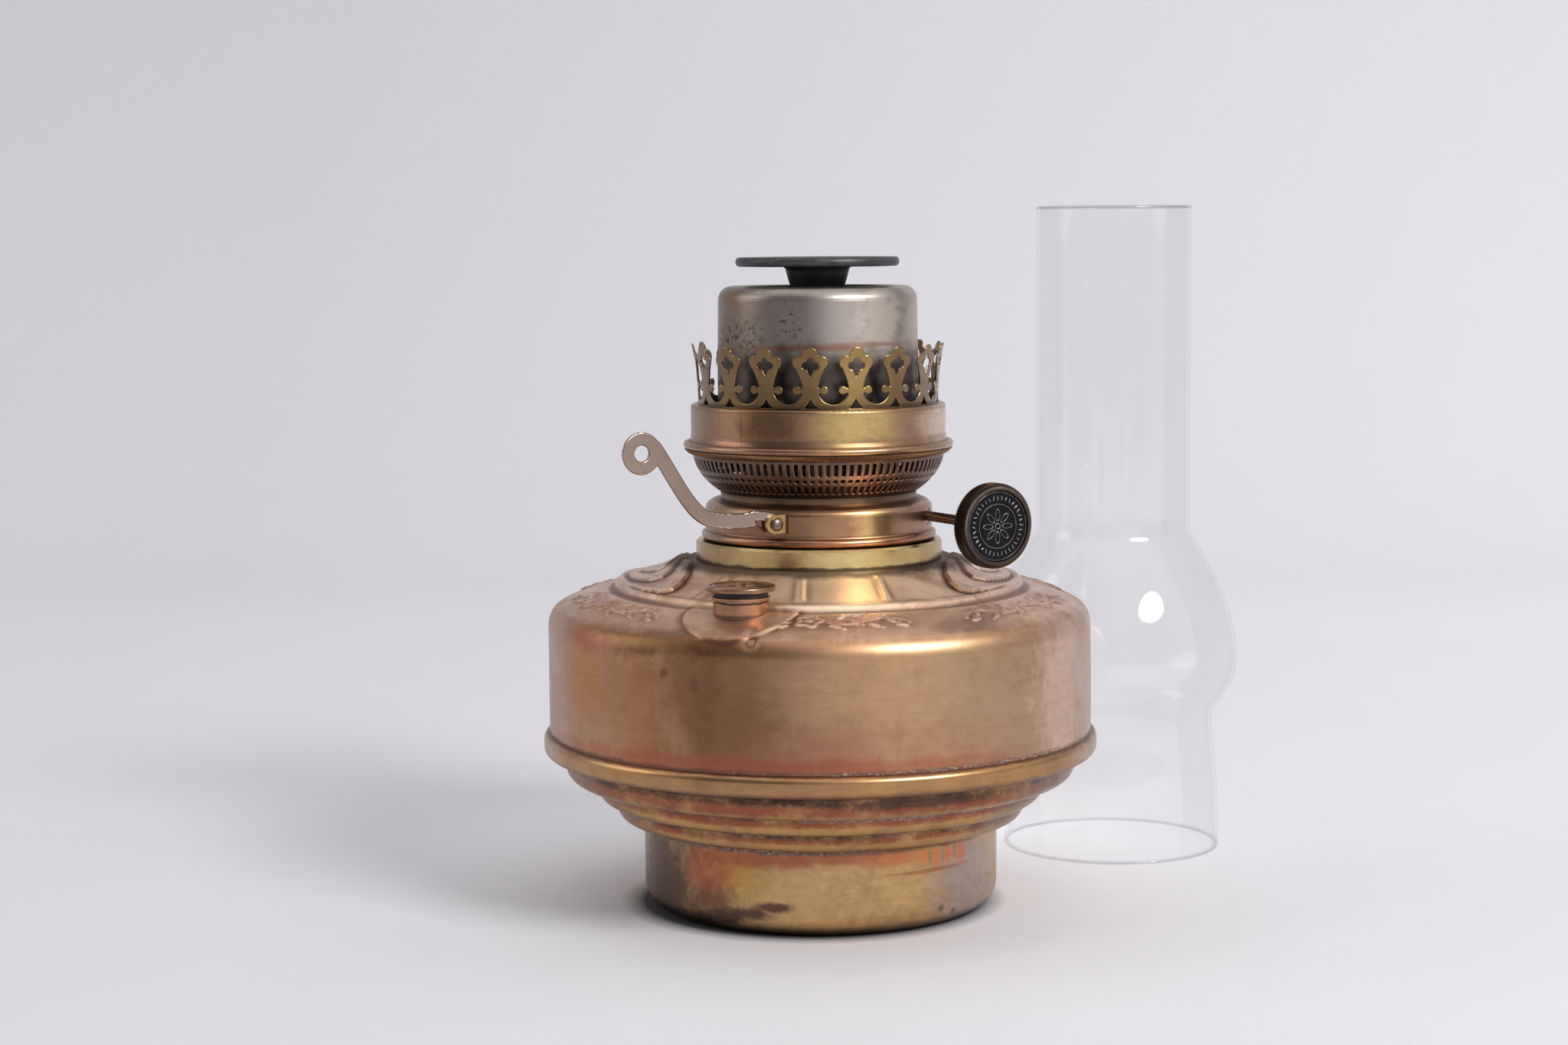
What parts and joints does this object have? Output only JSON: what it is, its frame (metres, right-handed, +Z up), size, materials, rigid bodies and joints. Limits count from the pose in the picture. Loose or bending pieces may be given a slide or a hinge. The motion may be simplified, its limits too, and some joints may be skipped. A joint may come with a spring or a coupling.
{
  "type": "kerosene lamp",
  "caption": "Round-wick kerosene lamp: drop-in brass reservoir, side-draught burner with pierced crown gallery, extinguisher lever, wick knob and a glass chimney standing beside it.",
  "frame": {"origin": "centre of the flat bottom of the drop-in cup, on the lamp's axis", "axes": "+Z up along the lamp's axis; -Y towards the front of the picture; +X to its right"},
  "size_m": [0.2518, 0.2284, 0.2385],
  "materials": {
    "font_brass": "aged copper-toned brass, brushed by handling, with darker bands at the seams",
    "pan_brass": "aged brass with brown and salmon stains in the grooves",
    "cup_brass": "aged yellow brass with dark stains",
    "collar_brass": "bright yellow brass, lightly scratched",
    "burner_brass": "satin brass, brown in the hollows",
    "basket_brass": "dark tarnished copper-brown brass",
    "gallery_brass": "satin yellow brass with coppery patches",
    "inner_brass": "dull unpolished brass",
    "nickel": "worn nickel plate over brass, sooty and pitted",
    "lever_nickel": "nickel plate worn through to brass on the edges",
    "black_iron": "matt black heat-scaled iron",
    "steel": "dull steel",
    "knob_brass": "dark knurled brass",
    "black_plate": null,
    "leather": "dark oiled leather",
    "cotton": "woven cotton, charred at its end",
    "glass": "clear thin glass"
  },
  "bodies": {
    "font": {"font_wall": "font_brass", "font_deck": "font_brass", "font_shoulder": "font_brass", "font_pan": "pan_brass", "base_cup": "cup_brass", "neck_ring": "collar_brass", "filler_neck": "font_brass"},
    "cap": {"filler_cap": "knob_brass", "cap_gasket": "leather"},
    "burner": {"burner_collar": "burner_brass", "burner_skirt": "inner_brass", "burner_floor": "inner_brass", "outer_wick_tube": "inner_brass", "draught_tube": "inner_brass", "draught_duct": "inner_brass", "air_plate": "inner_brass", "air_basket": "basket_brass", "drum_carrier": "inner_brass", "drum": "nickel", "drum_mouth": "nickel", "winder_bush": "burner_brass", "winder_bracket": "inner_brass", "lever_bush": "burner_brass", "lever_keeper": "collar_brass", "lever_bracket": "inner_brass"},
    "gallery": {"gallery_band": "gallery_brass", "milled_ring": "gallery_brass", "gallery_seat": "gallery_brass", "crown": "gallery_brass"},
    "spreader": {"spreader_disc": "black_iron", "spreader_thimble": "inner_brass", "spreader_screw": "steel"},
    "wick": {"wick": "cotton"},
    "winder": {"winder_shaft": "steel", "winder_wheels": "inner_brass", "knob_wheel": "knob_brass", "knob_plate": "black_plate"},
    "lever": {"lever_arm": "lever_nickel", "lever_shaft": "steel", "lever_crank": "inner_brass", "lever_screw": "steel"},
    "snuffer": {"snuffer_sleeve": "inner_brass", "snuffer_rod": "inner_brass"},
    "chimney": {"chimney": "glass"}
  },
  "joints": [
    {"name": "cap_lift", "type": "slide", "parent": "font", "child": "cap", "axis": [0, 0, 1], "range_m": [0, 0.025]},
    {"name": "burner_lift", "type": "slide", "parent": "font", "child": "burner", "axis": [0, 0, 1], "range_m": [0, 0.06]},
    {"name": "gallery_lift", "type": "slide", "parent": "burner", "child": "gallery", "axis": [0, 0, 1], "range_m": [0, 0.06]},
    {"name": "spreader_lift", "type": "slide", "parent": "burner", "child": "spreader", "axis": [0, 0, 1], "range_m": [0, 0.05]},
    {"name": "wick_slide", "type": "slide", "parent": "burner", "child": "wick", "axis": [0, 0, 1], "range_m": [-0.0061, 0.0061]},
    {"name": "knob_turn", "type": "hinge", "parent": "burner", "child": "winder", "pos_m": [0.02191, 0.01265, 0.134], "axis": [-0.5, 0.866, 0], "range_deg": [-52, 52]},
    {"name": "lever_turn", "type": "hinge", "parent": "burner", "child": "lever", "pos_m": [-0.02732, -0.01578, 0.134], "axis": [0.5, -0.866, 0], "range_deg": [0, 40]},
    {"name": "snuffer_slide", "type": "slide", "parent": "burner", "child": "snuffer", "axis": [0, 0, 1], "range_m": [0, 0.0098]},
    {"name": "chimney_lift", "type": "slide", "parent": "font", "child": "chimney", "axis": [0, 0, 1], "range_m": [0, 0.12]}
  ],
  "couplings": [
    {"joint": "wick_slide", "follows": "knob_turn", "m_per_rad": 0.00655},
    {"joint": "snuffer_slide", "follows": "lever_turn", "m_per_rad": 0.013991}
  ]
}
